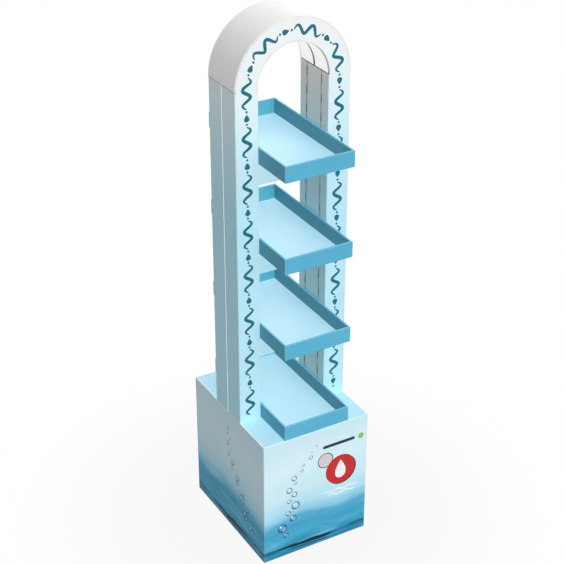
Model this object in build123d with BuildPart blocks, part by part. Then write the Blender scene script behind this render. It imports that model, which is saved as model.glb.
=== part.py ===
from build123d import *
import os

# A floor display of corrugated board: a box at the foot, a hollow arch and four trays.
# Millimetres. Z is up, the front looks along -Y, and the origin is the middle of the footprint.

# Driving sizes of the stand
stand_width = 400.0
base_depth = 484.0
base_height = 475.0
arch_depth = 166.0
band_width = 79.0
tray_pitch = 307.5
tray_count = 4
top_bay_height = 242.5
lip_height = 54.0
post_width = 83.0

# Board, its folds and its fits
board = 4.0
ply = 2.0
fold_radius = 2.4
ply_fold_radius = 1.3
fit_gap = 0.3
cut_gap = 0.6
tuck_play = 0.5

# Base box: flaps, glue joint and dividers
dust_flap_length = 118.0
bottom_flap_length = stand_width / 2 - cut_gap
tuck_flap_length = 60.0
flap_corner = 16.0
glue_flap_width = 35.0
glue_flap_slope = 12.0

# Arch: straps under the trays, seams, curved tabs, feet and glue lips
strap_height = 70.0
band_end_gap = 1.5
seam_gap = 1.5
soffit_gap = 4.0
curve_tab_depth = 20.0
curve_tab_gap = 8.0
outer_tab_count = 9
inner_tab_count = 6
foot_width = 50.0
foot_depth = 60.0
foot_corner = 10.0
rib_foot_depth = 120.0
glue_lip = 25.0

# Slots in the seams, and the tray hooks that hang in them
slots_per_pitch = 5
slot_rise = 13.0
hook_neck = 16.0
hook_drop = 8.0
hook_tip = 7.0
hook_play = 4.0
slot_side_play = 1.0

# Trays: lock tabs of the rolled walls and corner tucks
corner_tuck_length = 60.0
side_tab_length = 40.0
side_tab_spacing = 240.0
end_tab_length = 30.0
end_tab_spacing = 100.0

# Worked out from the sizes above
half_width = stand_width / 2
half_depth = base_depth / 2
arch_half_depth = arch_depth / 2
opening_radius = half_width - band_width
spring_height = base_height + (tray_count - 1) * tray_pitch + top_bay_height
leg_height = spring_height - base_height
leg_centre = half_width - band_width / 2
crown_outer = half_width - board - fit_gap
crown_inner = opening_radius + board + fit_gap
post_half = post_width / 2
flange_inner_edge = post_half + seam_gap
rib_slit = board / 2 + fit_gap

slot_height = hook_neck + hook_drop + hook_play
slot_width = ply + 2 * slot_side_play
slot_pitch = tray_pitch / slots_per_pitch
slot_first = base_height + slot_rise
slot_count = int((spring_height - slot_first - slot_height - board) // slot_pitch) + 1

tray_half_width = opening_radius - fit_gap
tray_half_depth = half_depth
lip_width = 3 * ply + 2 * tuck_play

top_underside = base_height - board
side_wall_top = top_underside - fit_gap
dust_flap_underside = side_wall_top - board
inner_flap_underside = board + fit_gap
inner_flap_top = inner_flap_underside + board
divider_top = dust_flap_underside - fit_gap
divider_line = opening_radius + board / 2

os.makedirs("parts", exist_ok=True)


def write(piece, name):
    """Label a finished piece and write it under its own name."""
    piece.label = name
    export_step(piece, f"parts/{name}.step")


# Base box: a wrap of four walls with a glue joint at the rear left corner
with BuildPart() as base_box:
    with BuildSketch(Plane.XY):
        RectangleRounded(stand_width, base_depth, fold_radius)
        Rectangle(stand_width - 2 * board, base_depth - 2 * board, mode=Mode.SUBTRACT)
    extrude(amount=base_height)

    # The side walls stop under the top panel, and the end walls above the outer bottom flaps
    with BuildSketch(Plane.XY.offset(side_wall_top)):
        Rectangle(stand_width, base_depth - 2 * board)
    extrude(amount=board + fit_gap, mode=Mode.SUBTRACT)
    with BuildSketch(Plane.XY):
        Rectangle(stand_width - 2 * board, base_depth)
    extrude(amount=inner_flap_underside, mode=Mode.SUBTRACT)

    # Top panel, hinged on the front wall, with its tuck flap behind
    panel_front = -half_depth + board
    panel_rear = half_depth - board - fit_gap
    with BuildSketch(Plane.XY.offset(top_underside)):
        with Locations((0, (panel_front + panel_rear) / 2)):
            Rectangle(stand_width, panel_rear - panel_front)
    extrude(amount=board)
    with BuildSketch(Plane.XZ.offset(-panel_rear)):
        with Locations((0, base_height - tuck_flap_length / 2)):
            tuck_outline = Rectangle(stand_width - 2 * board - 2 * cut_gap, tuck_flap_length)
        fillet(tuck_outline.vertices().group_by(Axis.Y)[0], flap_corner)
    extrude(amount=board)
    panel_folds = base_box.edges().filter_by(Axis.X).group_by(Axis.Z)[-1].sort_by(Axis.Y)
    fillet([panel_folds[0], panel_folds[-1]], fold_radius)

    # Dust flaps folded in from the side walls, with cut-back corners
    dust_front = -half_depth + board + cut_gap
    dust_rear = panel_rear - board - cut_gap
    with BuildSketch(Plane.XY.offset(dust_flap_underside)):
        with Locations((-half_width + board + dust_flap_length / 2, (dust_front + dust_rear) / 2)):
            dust_outline = Rectangle(dust_flap_length, dust_rear - dust_front)
        chamfer(dust_outline.vertices().group_by(Axis.X)[-1], flap_corner)
        mirror(about=Plane.YZ)
    extrude(amount=board)

    # Bottom flaps: the outer pair meets in the middle, the inner pair lies on it
    with BuildSketch(Plane.XY):
        with Locations((-(half_width - board + cut_gap) / 2, 0)):
            Rectangle(half_width - board - cut_gap, base_depth)
        mirror(about=Plane.YZ)
    extrude(amount=board)
    with BuildSketch(Plane.XY.offset(inner_flap_underside)):
        with Locations((0, -half_depth + board / 2 + bottom_flap_length / 2)):
            Rectangle(stand_width - 2 * board - 2 * cut_gap, bottom_flap_length)
        mirror(about=Plane.XZ)
    extrude(amount=board)

    # Glue flap of the rear wall, inside the left wall, and the cut beside it
    glue_bottom = inner_flap_top + glue_flap_slope
    glue_top = dust_flap_underside - glue_flap_slope
    with BuildSketch(Plane.YZ.offset(-half_width + board + fit_gap)):
        with BuildLine():
            Polyline(
                (half_depth - board, glue_bottom),
                (half_depth - board, glue_top),
                (half_depth - board - glue_flap_width, glue_top - glue_flap_slope),
                (half_depth - board - glue_flap_width, glue_bottom + glue_flap_slope),
                close=True,
            )
        make_face()
    extrude(amount=board)
    with BuildSketch(Plane.XY.offset(inner_flap_underside)):
        with Locations((-half_width + board / 2, half_depth - board - cut_gap / 2)):
            Rectangle(board, cut_gap)
    extrude(amount=side_wall_top - inner_flap_underside, mode=Mode.SUBTRACT)

    # Slots in the top for the feet of the arch
    foot_lines = (-arch_half_depth + board / 2, 0, arch_half_depth - board / 2)
    with BuildSketch(Plane.XY.offset(base_height)):
        with Locations([(side * leg_centre, line) for side in (-1, 1) for line in foot_lines]):
            Rectangle(foot_width + 2 * fit_gap, board + 2 * fit_gap)
    extrude(amount=-(base_height - dust_flap_underside), mode=Mode.SUBTRACT)
write(base_box.part, "base_box")


# Dividers in the base, half-lapped under the posts of the arch
lap_height = (inner_flap_top + divider_top) / 2
notch_edge = leg_centre - foot_width / 2 - fit_gap
with BuildPart() as base_divider_cross:
    with BuildSketch(Plane.XZ.offset(-board / 2)):
        cross_half = half_width - board - fit_gap
        cross_bottom = board + fit_gap
        notch_bottom = base_height - rib_foot_depth - fit_gap
        with BuildLine():
            Polyline(
                (0, cross_bottom),
                (cross_half, cross_bottom),
                (cross_half, notch_bottom),
                (notch_edge, notch_bottom),
                (notch_edge, divider_top),
                (0, divider_top),
            )
            mirror(about=Plane.YZ)
        make_face()
        with Locations((-divider_line, divider_top), (divider_line, divider_top)):
            Rectangle(
                board + 2 * fit_gap,
                2 * (divider_top - lap_height),
                mode=Mode.SUBTRACT,
            )
    extrude(amount=board)
write(base_divider_cross.part, "base_divider_cross")

with BuildPart() as base_divider_left:
    divider_front = -half_depth + board + fit_gap
    divider_rear = panel_rear - board - fit_gap
    divider_bottom = inner_flap_top + fit_gap
    with BuildSketch(Plane.YZ.offset(-divider_line - board / 2)):
        with Locations(((divider_front + divider_rear) / 2, (divider_bottom + divider_top) / 2)):
            Rectangle(divider_rear - divider_front, divider_top - divider_bottom)
        with Locations((0, divider_bottom)):
            Rectangle(
                board + 2 * fit_gap,
                2 * (lap_height - divider_bottom + fit_gap),
                mode=Mode.SUBTRACT,
            )
    extrude(amount=board)
write(base_divider_left.part, "base_divider_left")

with BuildPart() as base_divider_right:
    mirror(base_divider_left.part, about=Plane.YZ)
write(base_divider_right.part, "base_divider_right")


# Front of the arch: face, leg flanges, slots along the seams, curved tabs and feet
with BuildPart() as arch_front:
    # Each leg is a channel, open towards the middle of the arch
    with BuildSketch(Plane.XY.offset(base_height)):
        with Locations((-leg_centre, -arch_half_depth / 2 - rib_slit / 2)):
            leg_block = Rectangle(band_width, arch_half_depth - rib_slit)
        fillet(leg_block.vertices().group_by(Axis.Y)[0], fold_radius)
        with Locations((-leg_centre, -arch_half_depth / 2 + board / 2)):
            Rectangle(band_width - 2 * board, arch_half_depth - board, mode=Mode.SUBTRACT)
        with Locations((-opening_radius - board / 2, -flange_inner_edge / 2)):
            Rectangle(board, flange_inner_edge, mode=Mode.SUBTRACT)
        mirror(about=Plane.YZ)
    extrude(amount=leg_height)

    # Straps across the opening, which the upper trays rest on, and the flanges cut back beside them
    face_back = Plane.XZ.offset(arch_half_depth - board)
    flange_depth = arch_half_depth - board - flange_inner_edge
    for tray_number in range(1, tray_count):
        strap_middle = base_height + tray_number * tray_pitch - strap_height / 2
        with BuildSketch(face_back):
            with Locations((0, strap_middle)):
                Rectangle(2 * (opening_radius + board), strap_height)
        extrude(amount=board)
        with BuildSketch(Plane.YZ):
            with Locations((-flange_inner_edge - flange_depth / 2, strap_middle)):
                Rectangle(flange_depth, strap_height + 2 * cut_gap)
        extrude(amount=opening_radius + board + fit_gap, both=True, mode=Mode.SUBTRACT)

    # The crown of the face, cut a board's thickness short of the band and the soffit
    with BuildSketch(face_back):
        with BuildLine():
            CenterArc((0, spring_height), crown_outer, 0, 180)
            Line((-crown_outer, spring_height), (-crown_inner, spring_height))
            CenterArc((0, spring_height), crown_inner, 0, 180)
            Line((crown_inner, spring_height), (crown_outer, spring_height))
        make_face()
    extrude(amount=board)

    # Tabs folded back from both curved edges
    for outer_edge, tab_count in ((crown_outer, outer_tab_count), (crown_inner + board, inner_tab_count)):
        with BuildSketch(face_back):
            with Locations((0, spring_height)):
                Circle(outer_edge)
                Circle(outer_edge - board, mode=Mode.SUBTRACT)
                with PolarLocations(outer_edge - board / 2, tab_count + 1, 0, 180, endpoint=True):
                    Rectangle(2 * board, curve_tab_gap, mode=Mode.SUBTRACT)
            with Locations((0, spring_height - outer_edge / 2)):
                Rectangle(2 * outer_edge, outer_edge, mode=Mode.SUBTRACT)
        extrude(amount=-curve_tab_depth)

    # Feet that pass through the top of the base
    with BuildSketch(face_back):
        with Locations((-leg_centre, base_height - foot_depth / 2)):
            foot_outline = Rectangle(foot_width, foot_depth)
        chamfer(foot_outline.vertices().group_by(Axis.Y)[0], foot_corner)
        mirror(about=Plane.YZ)
    extrude(amount=board)

    # Rows of slots in the seams beside the posts
    slot_cut = slot_width - seam_gap
    with BuildSketch(Plane.YZ):
        with Locations((-flange_inner_edge - slot_cut / 2, slot_first + slot_height / 2)):
            for slot in range(slot_count):
                with Locations((0, slot * slot_pitch)):
                    Rectangle(slot_cut, slot_height)
    extrude(amount=opening_radius + board + fit_gap, both=True, mode=Mode.SUBTRACT)
write(arch_front.part, "arch_front")

with BuildPart() as arch_rear:
    mirror(arch_front.part, about=Plane.XZ)
write(arch_rear.part, "arch_rear")


# Rib in the middle plane: flush with the outer leg faces, and under the band and the soffit
with BuildPart() as arch_mid_rib:
    with BuildSketch(Plane.XZ.offset(-board / 2)):
        rib_foot_outer = leg_centre + foot_width / 2
        rib_foot_inner = leg_centre - foot_width / 2
        rib_foot_end = base_height - rib_foot_depth
        with BuildLine():
            crown_line = CenterArc((0, spring_height), crown_outer, 0, 180)
            Polyline(
                crown_line @ 1,
                (-half_width, spring_height),
                (-half_width, base_height),
                (-rib_foot_outer, base_height),
                (-rib_foot_outer, rib_foot_end + foot_corner),
                (-rib_foot_outer + foot_corner, rib_foot_end),
                (-rib_foot_inner - foot_corner, rib_foot_end),
                (-rib_foot_inner, rib_foot_end + foot_corner),
                (-rib_foot_inner, base_height),
                (-crown_inner, base_height),
                (-crown_inner, spring_height),
            )
            CenterArc((0, spring_height), crown_inner, 0, 180)
            Polyline(
                (crown_inner, spring_height),
                (crown_inner, base_height),
                (rib_foot_inner, base_height),
                (rib_foot_inner, rib_foot_end + foot_corner),
                (rib_foot_inner + foot_corner, rib_foot_end),
                (rib_foot_outer - foot_corner, rib_foot_end),
                (rib_foot_outer, rib_foot_end + foot_corner),
                (rib_foot_outer, base_height),
                (half_width, base_height),
                (half_width, spring_height),
                crown_line @ 0,
            )
        make_face()
    extrude(amount=board)
write(arch_mid_rib.part, "arch_mid_rib")


# Bent strips of the crown, each a half ring of board across the arch
bend_start = spring_height + band_end_gap


def bent_strip(outer_edge, low_y, high_y):
    """Half ring of board, standing on the spring line of the arch, between two depths."""
    with BuildPart() as strip:
        with BuildSketch(Plane.XZ.offset(-high_y)):
            with Locations((0, spring_height)):
                Circle(outer_edge)
                Circle(outer_edge - board, mode=Mode.SUBTRACT)
            with Locations((0, bend_start - outer_edge)):
                Rectangle(2 * outer_edge, 2 * outer_edge, mode=Mode.SUBTRACT)
        extrude(amount=high_y - low_y)
    return strip.part


arch_top_band = bent_strip(half_width, -arch_half_depth, arch_half_depth)
write(arch_top_band, "arch_top_band")
soffit_front = bent_strip(opening_radius + board, -arch_half_depth, -soffit_gap / 2)
write(soffit_front, "soffit_front")
soffit_rear = bent_strip(opening_radius + board, soffit_gap / 2, arch_half_depth)
write(soffit_rear, "soffit_rear")


# Posts: a web between the seams of the inner leg face, and flanges with glue lips in the leg
with BuildPart() as left_post:
    lip_face = -half_width + board + fit_gap
    with BuildSketch(Plane.XY.offset(base_height)):
        with BuildLine():
            Polyline(
                (-opening_radius, 0),
                (-opening_radius, post_half),
                (lip_face + board, post_half),
                (lip_face + board, post_half + glue_lip),
                (lip_face, post_half + glue_lip),
                (lip_face, post_half - board),
                (-opening_radius - board, post_half - board),
                (-opening_radius - board, 0),
            )
            mirror(about=Plane.XZ)
        make_face()
    extrude(amount=leg_height - band_end_gap)
    web_folds = left_post.edges().filter_by(Axis.Z).group_by(Axis.X)[-1]
    fillet(web_folds, ply_fold_radius)
write(left_post.part, "left_post")

with BuildPart() as right_post:
    mirror(left_post.part, about=Plane.YZ)
write(right_post.part, "right_post")


def fold_tray(level):
    """Tray with rolled double walls, corner tucks, lock tabs and four hooks, at a level."""
    rim = level + lip_height
    floor_top = level + ply
    inner_half_width = tray_half_width - lip_width
    inner_half_depth = tray_half_depth - lip_width
    with BuildPart() as tray:
        # Floor and outer walls
        with BuildSketch(Plane.XY.offset(level)):
            Rectangle(2 * tray_half_width, 2 * tray_half_depth)
        extrude(amount=lip_height)
        with BuildSketch(Plane.XY.offset(floor_top)):
            Rectangle(2 * (tray_half_width - ply), 2 * (tray_half_depth - ply))
        extrude(amount=lip_height, mode=Mode.SUBTRACT)

        # Rolled rim, with its folds and those of the floor rounded, then the inner walls
        with BuildSketch(Plane.XY.offset(rim - ply)):
            Rectangle(2 * (tray_half_width - ply / 2), 2 * (tray_half_depth - ply / 2))
            Rectangle(2 * inner_half_width, 2 * inner_half_depth, mode=Mode.SUBTRACT)
        extrude(amount=ply)
        fillet(tray.edges().group_by(Axis.Z)[-1], ply_fold_radius)
        fillet(tray.edges().group_by(Axis.Z)[0], ply_fold_radius)
        with BuildSketch(Plane.XY.offset(floor_top + fit_gap)):
            Rectangle(2 * (inner_half_width + ply), 2 * (inner_half_depth + ply))
            Rectangle(2 * inner_half_width, 2 * inner_half_depth, mode=Mode.SUBTRACT)
        extrude(amount=lip_height - 2 * ply - fit_gap)

        # Corner tucks of the end walls, inside the side walls
        with BuildSketch(Plane.YZ.offset(-tray_half_width + ply + tuck_play)):
            tuck_centre = -tray_half_depth + ply + corner_tuck_length / 2
            with Locations((tuck_centre, level + lip_height / 2)):
                tuck = Rectangle(corner_tuck_length, lip_height - 2 * ply - 2 * fit_gap)
            chamfer(tuck.vertices().group_by(Axis.X)[-1], 2 * ply)
            mirror(about=Plane.YZ)
        tuck_pair = extrude(amount=ply)
        mirror(tuck_pair, about=Plane.YZ)

        # Slits that part the side walls from the end walls, and mitres of the rim and inner walls
        with BuildSketch(Plane.XY.offset(floor_top)):
            with GridLocations(2 * tray_half_width - ply, 2 * (tray_half_depth - ply) - fit_gap, 2, 2):
                Rectangle(ply, fit_gap)
        extrude(amount=lip_height - 2 * ply, mode=Mode.SUBTRACT)
        for mitre_inset, mitre_width, mitre_bottom in (
            (lip_width / 2, lip_width, rim - ply),
            (lip_width - ply / 2, ply, floor_top),
        ):
            corner_x = tray_half_width - mitre_inset
            corner_y = tray_half_depth - mitre_inset
            mitre_length = 2**0.5 * mitre_width + fit_gap
            with BuildSketch(Plane.XY.offset(mitre_bottom)):
                with Locations((corner_x, corner_y), (-corner_x, -corner_y)):
                    Rectangle(mitre_length, fit_gap, rotation=45)
                with Locations((-corner_x, corner_y), (corner_x, -corner_y)):
                    Rectangle(mitre_length, fit_gap, rotation=-45)
            extrude(amount=rim - mitre_bottom, mode=Mode.SUBTRACT)

        # Lock tabs of the inner walls, in slots of the floor
        side_line = 2 * inner_half_width + ply
        end_line = 2 * inner_half_depth + ply
        for play, mode in ((fit_gap, Mode.SUBTRACT), (0, Mode.ADD)):
            with BuildSketch(Plane.XY.offset(level)):
                with GridLocations(side_line, side_tab_spacing, 2, 2):
                    Rectangle(ply + 2 * play, side_tab_length + 2 * play)
                with GridLocations(end_tab_spacing, end_line, 2, 2):
                    Rectangle(end_tab_length + 2 * play, ply + 2 * play)
            extrude(amount=ply + fit_gap, mode=mode)

        # Windows in the side walls, from which the hooks are turned out
        hook_face = post_half + fit_gap
        tip_start = opening_radius + board + fit_gap
        hook_reach = tip_start + hook_tip
        neck_bottom = level + slot_rise + fit_gap
        neck_top = neck_bottom + hook_neck
        tip_bottom = neck_bottom - hook_drop
        window_end = hook_face - (hook_reach - tray_half_width)
        with BuildSketch(Plane.YZ.offset(-tray_half_width)):
            with BuildLine():
                Polyline(
                    (hook_face, neck_bottom),
                    (hook_face, neck_top),
                    (window_end, neck_top),
                    (window_end, tip_bottom),
                    (window_end + hook_tip, tip_bottom),
                    (window_end + hook_tip, neck_bottom),
                    close=True,
                )
            make_face()
            mirror(about=Plane.YZ)
        windows = extrude(amount=ply, mode=Mode.SUBTRACT)
        mirror(windows, about=Plane.YZ, mode=Mode.SUBTRACT)

        # Hooks, each a flat plate that enters a slot and drops behind its lower edge
        with BuildSketch(Plane.XZ.offset(-hook_face)):
            with BuildLine():
                Polyline(
                    (ply - tray_half_width, neck_bottom),
                    (ply - tray_half_width, neck_top),
                    (-hook_reach, neck_top),
                    (-hook_reach, tip_bottom),
                    (-tip_start, tip_bottom),
                    (-tip_start, neck_bottom),
                    close=True,
                )
            hook_outline = make_face()
            fillet(hook_outline.vertices().group_by(Axis.X)[0], ply)
            mirror(about=Plane.YZ)
        hooks = extrude(amount=-ply)
        mirror(hooks, about=Plane.XZ)
    return tray.part


def cut_liner(level):
    """Flat panel that lies on a tray's floor, between the inner walls."""
    with BuildPart() as liner:
        with BuildSketch(Plane.XY.offset(level + ply)):
            liner_half_width = tray_half_width - lip_width - fit_gap
            liner_half_depth = tray_half_depth - lip_width - fit_gap
            Rectangle(2 * liner_half_width, 2 * liner_half_depth)
        extrude(amount=ply)
    return liner.part


for number in range(tray_count):
    level = base_height + number * tray_pitch
    write(fold_tray(level), f"tray_{number + 1}")
    write(cut_liner(level), f"tray_{number + 1}_liner")
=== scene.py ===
"""Looks of a folded board display stand: printed liners, ink motifs, floor, light and camera.

Metres, in the frame of the stand: Z is up, the front looks along -Y, and the origin is the
middle of the footprint. Every finish is a function of the place on the stand, so that prints,
flutes and wear run on from one folded board to the next.
"""

from __future__ import annotations

import logging
import math
from collections.abc import Callable, Iterable, Sequence
from dataclasses import dataclass
from enum import Enum
from functools import cached_property

import bmesh
import bpy
from mathutils import Matrix, Vector

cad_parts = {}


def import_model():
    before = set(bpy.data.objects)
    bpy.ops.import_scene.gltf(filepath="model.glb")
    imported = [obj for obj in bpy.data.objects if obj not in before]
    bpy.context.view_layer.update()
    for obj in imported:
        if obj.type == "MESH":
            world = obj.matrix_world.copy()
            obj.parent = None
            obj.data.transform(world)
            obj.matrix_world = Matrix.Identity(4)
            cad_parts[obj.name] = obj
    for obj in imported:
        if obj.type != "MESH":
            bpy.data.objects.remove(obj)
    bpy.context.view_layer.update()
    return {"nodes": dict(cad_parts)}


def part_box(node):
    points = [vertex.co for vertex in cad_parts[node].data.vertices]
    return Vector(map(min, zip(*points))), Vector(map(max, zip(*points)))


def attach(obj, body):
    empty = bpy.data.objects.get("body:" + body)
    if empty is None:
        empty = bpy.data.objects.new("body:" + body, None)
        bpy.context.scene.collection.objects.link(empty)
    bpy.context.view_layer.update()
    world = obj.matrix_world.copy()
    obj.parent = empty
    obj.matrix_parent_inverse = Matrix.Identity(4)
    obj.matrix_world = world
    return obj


log = logging.getLogger("display_stand")

Colour = tuple[float, float, float, float]
Point = tuple[float, float]
# Where a mask starts, and where it is full.
Span = tuple[float, float]
MM = 0.001
FULL_TURN = 2 * math.pi
# Width of the lip along each side of a post, which is glued out of sight in the leg.
GLUE_LIP = 25 * MM
# How far under a face its print still holds, as round a fold, and how softly it ends there.
SKIN = 2 * MM
BLUR = 0.3 * MM
# Span of the slow noise in which a print drifts from one strength to another.
DRIFT = (0.3, 0.7)


def ink(code: str) -> Colour:
    """Turn a printer's colour code into a linear colour.

    Args:
        code: Six hexadecimal digits, two each for red, green and blue.

    Returns:
        The colour with full opacity.
    """
    shares = [int(code[start : start + 2], 16) / 255 for start in (0, 2, 4)]
    linear = [s / 12.92 if s <= 0.04045 else ((s + 0.055) / 1.055) ** 2.4 for s in shares]
    return (*linear, 1.0)


class Sock:
    """A shader value that takes part in arithmetic and adds the Math nodes it needs."""

    def __init__(self, shader: Shader, socket: bpy.types.NodeSocket) -> None:
        """Wrap one output socket of a shader."""
        self.shader = shader
        self.socket = socket

    def __add__(self, other: Number) -> Sock:
        """Sum of two values."""
        return self.shader.math("ADD", self, other)

    def __radd__(self, other: Number) -> Sock:
        """Sum with a number on the left."""
        return self.shader.math("ADD", other, self)

    def __sub__(self, other: Number) -> Sock:
        """Difference of two values."""
        return self.shader.math("SUBTRACT", self, other)

    def __rsub__(self, other: Number) -> Sock:
        """Difference with a number on the left."""
        return self.shader.math("SUBTRACT", other, self)

    def __mul__(self, other: Number) -> Sock:
        """Product of two values."""
        return self.shader.math("MULTIPLY", self, other)

    def __rmul__(self, other: Number) -> Sock:
        """Product with a number on the left."""
        return self.shader.math("MULTIPLY", other, self)

    def __truediv__(self, other: Number) -> Sock:
        """Quotient of two values."""
        return self.shader.math("DIVIDE", self, other)

    def __mod__(self, other: Number) -> Sock:
        """Remainder, always from 0 up to the divisor."""
        return self.shader.math("FLOORED_MODULO", self, other)

    def __pow__(self, other: Number) -> Sock:
        """Power of a value."""
        return self.shader.math("POWER", self, other)

    def __abs__(self) -> Sock:
        """Size of a value without its sign."""
        return self.shader.math("ABSOLUTE", self)


Number = Sock | float
Paint = Sock | Colour


class Shader:
    """The node tree of one material, written as expressions on sockets."""

    def __init__(self, tree: bpy.types.NodeTree) -> None:
        """Start with an empty tree."""
        self.tree = tree
        tree.nodes.clear()

    def node(
        self,
        kind: str,
        settings: dict[str, object] | None = None,
        inputs: dict[int | str, object] | None = None,
        output: int | str = 0,
    ) -> Sock:
        """Add any node.

        Args:
            kind: The node's type.
            settings: Its settings, such as an operation or a ramp's stops, which are set first.
            inputs: The values or links of its sockets, by name or place.
            output: The output socket that is wanted.

        Returns:
            That output socket.
        """
        made = self.tree.nodes.new(kind)
        for key, value in (settings or {}).items():
            if key == "stops":
                self._set_stops(made.color_ramp, value)
            else:
                setattr(made, key, value)
        for key, value in (inputs or {}).items():
            if isinstance(value, Sock):
                self.tree.links.new(value.socket, made.inputs[key])
            else:
                made.inputs[key].default_value = value
        return Sock(self, made.outputs[output]) if made.outputs else Sock(self, None)

    @staticmethod
    def _set_stops(ramp: bpy.types.ColorRamp, stops: Sequence[tuple[float, Colour]]) -> None:
        """Give a ramp its stops, from low to high.

        Args:
            ramp: The ramp.
            stops: Place and colour of each stop.
        """
        while len(ramp.elements) < len(stops):
            ramp.elements.new(1.0)
        for element, (place, colour) in zip(ramp.elements, stops):
            element.position = place
            element.color = colour

    def math(self, operation: str, *values: Number) -> Sock:
        """Apply one Math operation to one, two or three values."""
        return self.node("ShaderNodeMath", {"operation": operation}, dict(enumerate(values)))

    @cached_property
    def place(self) -> tuple[Sock, Sock, Sock]:
        """The place on the stand, as x, y and z in metres."""
        return self._parts("Object")

    @cached_property
    def facing(self) -> tuple[Sock, Sock, Sock]:
        """The way that the surface faces, as the parts of its unit normal."""
        return self._parts("Normal")

    def _parts(self, output: str) -> tuple[Sock, Sock, Sock]:
        """Split one output of Texture Coordinate in its three parts.

        Args:
            output: The output's name.

        Returns:
            Its x, y and z.
        """
        whole = self.node("ShaderNodeTexCoord", output=output)
        split = self.node("ShaderNodeSeparateXYZ", inputs={0: whole}).socket.node
        return tuple(Sock(self, socket) for socket in split.outputs)

    def uv(self) -> tuple[Sock, Sock]:
        """The place on the piece's own UV map."""
        return self._parts("UV")[:2]

    def vector(self, x: Number, y: Number, z: Number) -> Sock:
        """Join three numbers in a vector."""
        return self.node("ShaderNodeCombineXYZ", inputs={0: x, 1: y, 2: z})

    def noise(self, vector: Sock, scale: float, detail: float = 2.0, warp: float = 0.0) -> Sock:
        """Cloudy noise from 0 to 1.

        Args:
            vector: Where the noise is read.
            scale: Clouds in a metre.
            detail: How many finer layers are added.
            warp: How far the clouds are pulled out of shape.

        Returns:
            The noise, with most of it close to a half.
        """
        inputs = {"Vector": vector, "Scale": scale, "Detail": detail, "Distortion": warp}
        return self.node("ShaderNodeTexNoise", inputs=inputs)

    def cloud(self, scale: float, detail: float, squash: float = 1.0, warp: float = 0.0) -> Sock:
        """Noise at the place on the stand, its clouds squashed in height by a factor."""
        x, y, z = self.place
        return self.noise(self.vector(x, y, z * squash), scale, detail, warp)

    def step(self, value: Number, start: float, end: float) -> Sock:
        """Rise smoothly from 0 at start to 1 at end, or fall where end is the lower one.

        Args:
            value: What is looked at.
            start: Where the mask is 0.
            end: Where it is 1.

        Returns:
            The mask.
        """
        return self.node(
            "ShaderNodeMapRange",
            {"interpolation_type": "SMOOTHSTEP"},
            {"Value": value, "From Min": start, "From Max": end},
        )

    def blend(self, factor: Number, low: Paint, high: Paint, mode: str = "MIX") -> Sock:
        """Mix two colours, with low at 0 and high at 1.

        Args:
            factor: Share of the second colour.
            low: The first colour.
            high: The second colour.
            mode: How the second is laid on the first, such as MULTIPLY.

        Returns:
            The mixed colour.
        """
        return self.node(
            "ShaderNodeMix",
            {"data_type": "RGBA", "blend_type": mode, "clamp_factor": True},
            {0: factor, 6: low, 7: high},
            output=2,
        )

    def ramp(self, value: Number, stops: Sequence[tuple[float, Colour]]) -> Sock:
        """Colour along a run of stops."""
        return self.node("ShaderNodeValToRGB", {"stops": stops}, {0: value})

    def either(self, *masks: Number) -> Number:
        """The strongest of several masks.

        Args:
            *masks: The masks.

        Returns:
            The highest of their values at each place.
        """
        found = masks[0]
        for mask in masks[1:]:
            found = self.math("MAXIMUM", found, mask)
        return found

    def turned(self, axis: int, start: float = 0.85, end: float = 0.95) -> Sock:
        """Mask of the faces that look along an axis, either way, by that part of their normal."""
        return self.step(abs(self.facing[axis]), start, end)

    def outer_face(self, axis: int, reach: float, sign: int = 0) -> Sock:
        """Mask of the skin at one distance from the middle of the stand.

        Args:
            axis: 0, 1 or 2 for the direction that is looked along.
            reach: Where the skin lies.
            sign: 1 or -1 for one side only, and 0 for both.

        Returns:
            1 on faces there that point along the axis, outward or inward.
        """
        place = self.place[axis]
        distance = abs(place) if sign == 0 else place * sign
        skin = self.step(abs(distance - reach), SKIN, SKIN - BLUR)
        return skin * self.turned(axis, 0.2, 0.3)

    def near_edge(self, first: Number, second: Number, width: float) -> Sock:
        """Mask of an edge, from the distances to the two faces that meet in it."""
        reach = self.math("SQRT", first * first + second * second)
        return self.step(reach, width, 0.3 * width)


@dataclass(frozen=True)
class StandSizes:
    """Main sizes of the stand in metres, read from the boxes of its boards."""

    half_width: float
    half_depth: float
    base_top: float
    arch_half_depth: float
    opening_radius: float
    post_half: float
    spring: float
    tray_pitch: float
    lip_height: float
    board: float

    @classmethod
    def from_frame(cls) -> StandSizes:
        """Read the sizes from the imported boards.

        Returns:
            The sizes of this stand.
        """
        base_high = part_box("base_box")[1]
        band_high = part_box("arch_top_band")[1]
        rib_low, rib_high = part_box("arch_mid_rib")
        first_low, first_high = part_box("tray_1")
        return cls(
            half_width=base_high.x,
            half_depth=base_high.y,
            base_top=base_high.z,
            arch_half_depth=band_high.y,
            opening_radius=-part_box("left_post")[1].x,
            post_half=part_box("left_post")[1].y - GLUE_LIP,
            spring=band_high.z - base_high.x,
            tray_pitch=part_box("tray_2")[0].z - first_low.z,
            lip_height=first_high.z - first_low.z,
            board=rib_high.y - rib_low.y,
        )

    @property
    def leg_centre(self) -> float:
        """Distance of each leg's middle line from the middle of the stand."""
        return 0.5 * (self.half_width + self.opening_radius)


@dataclass(frozen=True)
class Grain:
    """One layer of unevenness in the paper: how fine it is, and how much it changes.

    The scale is in clouds to the metre, the detail in finer layers and the height in millimetres.
    """

    scale: float
    tone: float
    height: float
    roughness: float
    detail: float = 3.0


FIBRE = Grain(640.0, tone=0.05, height=0.03, roughness=0.10)
MOTTLE = Grain(16.0, tone=0.06, height=0.12, roughness=0.08)


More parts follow.
